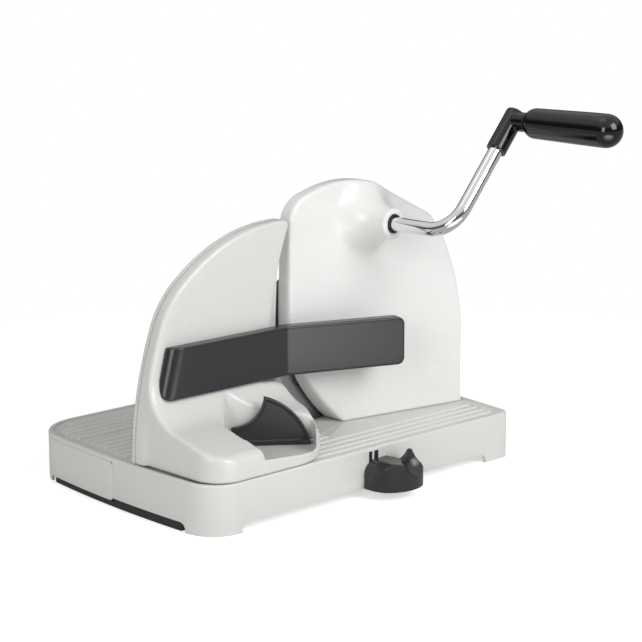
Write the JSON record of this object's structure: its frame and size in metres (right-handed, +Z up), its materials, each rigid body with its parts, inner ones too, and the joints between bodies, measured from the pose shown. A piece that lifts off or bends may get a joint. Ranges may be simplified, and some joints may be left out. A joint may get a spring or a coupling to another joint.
{
  "type": "hand cranked bread slicer",
  "caption": "Hand-cranked bread slicer: ribbed base, toothed round blade in a gear housing, sliding stop plate with guard bar, crank with turning grip.",
  "frame": {"origin": "middle of the footprint, crank included, on the surface it stands on", "axes": "+Z up; -Y towards the operator and the crank's grip; +X to the operator's right"},
  "size_m": [0.3506, 0.364, 0.3041],
  "materials": {
    "white_plastic": "glossy white moulded plastic",
    "white_base": "white moulded plastic, satin",
    "dark_plastic": "dark grey moulded plastic, satin",
    "grey_plastic": "light grey plastic",
    "black_plastic": "glossy black plastic",
    "black_rubber": "matte",
    "gear_plastic": "natural nylon",
    "chrome": "polished",
    "stainless": "ground",
    "zinc_steel": "zinc plated"
  },
  "bodies": {
    "base": {"base_shell": "white_base", "base_cover": "white_base", "cover_screws": "zinc_steel", "left_skid": "black_rubber", "right_skid": "black_rubber", "index_marks": "dark_plastic", "guide_rods": "zinc_steel", "cam_rod": "zinc_steel", "housing_shell": "white_plastic", "bearing_plate": "white_plastic", "plate_screws": "zinc_steel", "housing_screws": "zinc_steel", "front_bush": "black_plastic", "rear_bush": "black_plastic", "blade_bush": "gear_plastic", "idler_axle": "zinc_steel"},
    "drawer": {"drawer_front": "white_base", "drawer_tray": "white_base"},
    "crank": {"crank_tube": "chrome", "crank_gear": "gear_plastic", "gear_pin": "zinc_steel", "grip_socket": "black_plastic", "grip_pin": "zinc_steel", "grip_washer": "zinc_steel"},
    "grip": {"grip": "black_plastic", "grip_cap": "black_plastic"},
    "idler": {"idler_gear": "gear_plastic"},
    "blade": {"blade": "stainless", "blade_shaft": "zinc_steel", "blade_gear": "gear_plastic", "blade_hub": "stainless", "blade_nut": "stainless"},
    "stop": {"stop_plate": "white_plastic", "stop_face": "white_plastic", "guard_bar": "dark_plastic", "guard_screws": "zinc_steel", "pocket_tray": "grey_plastic", "paddle_pin": "zinc_steel", "paddle_spring": "zinc_steel", "plate_slider": "dark_plastic", "slider_screws": "zinc_steel", "follower_pin": "zinc_steel"},
    "paddle": {"release_paddle": "dark_plastic"},
    "knob": {"thickness_knob": "dark_plastic", "cam_plate": "dark_plastic", "knob_screw": "zinc_steel"}
  },
  "joints": [
    {"name": "crank_spin", "type": "hinge", "parent": "base", "child": "crank", "pos_m": [0.074, 0.0385, 0.206], "axis": [0, 1, 0], "continuous": true},
    {"name": "idler_spin", "type": "hinge", "parent": "base", "child": "idler", "pos_m": [0.07972, 0.0305, 0.15696], "axis": [0, 1, 0], "continuous": true},
    {"name": "blade_spin", "type": "hinge", "parent": "base", "child": "blade", "pos_m": [0.074, 0.0385, 0.118], "axis": [0, 1, 0], "continuous": true},
    {"name": "grip_spin", "type": "hinge", "parent": "crank", "child": "grip", "pos_m": [0.147, -0.0885, 0.2905], "axis": [0, 1, 0], "continuous": true},
    {"name": "knob_slide", "type": "slide", "parent": "base", "child": "knob", "axis": [1, 0, 0], "range_m": [-0.01159, 0.01241]},
    {"name": "plate_slide", "type": "slide", "parent": "base", "child": "stop", "axis": [0, 1, 0], "range_m": [-0.0072, 0.0077]},
    {"name": "paddle_press", "type": "hinge", "parent": "stop", "child": "paddle", "pos_m": [-0.07504, -0.00872, 0.0479], "axis": [-0.7986, 0.6018, 0], "range_deg": [0, 4], "stiffness_Nm_per_rad": 0.6, "springref_deg": -11.46},
    {"name": "drawer_slide", "type": "slide", "parent": "base", "child": "drawer", "axis": [-1, 0, 0], "range_m": [0, 0.09]}
  ],
  "couplings": [
    {"joint": "idler_spin", "follows": "crank_spin", "ratio": -0.75556},
    {"joint": "blade_spin", "follows": "crank_spin", "ratio": 1.8889},
    {"joint": "plate_slide", "follows": "knob_slide", "ratio": 0.6125}
  ]
}
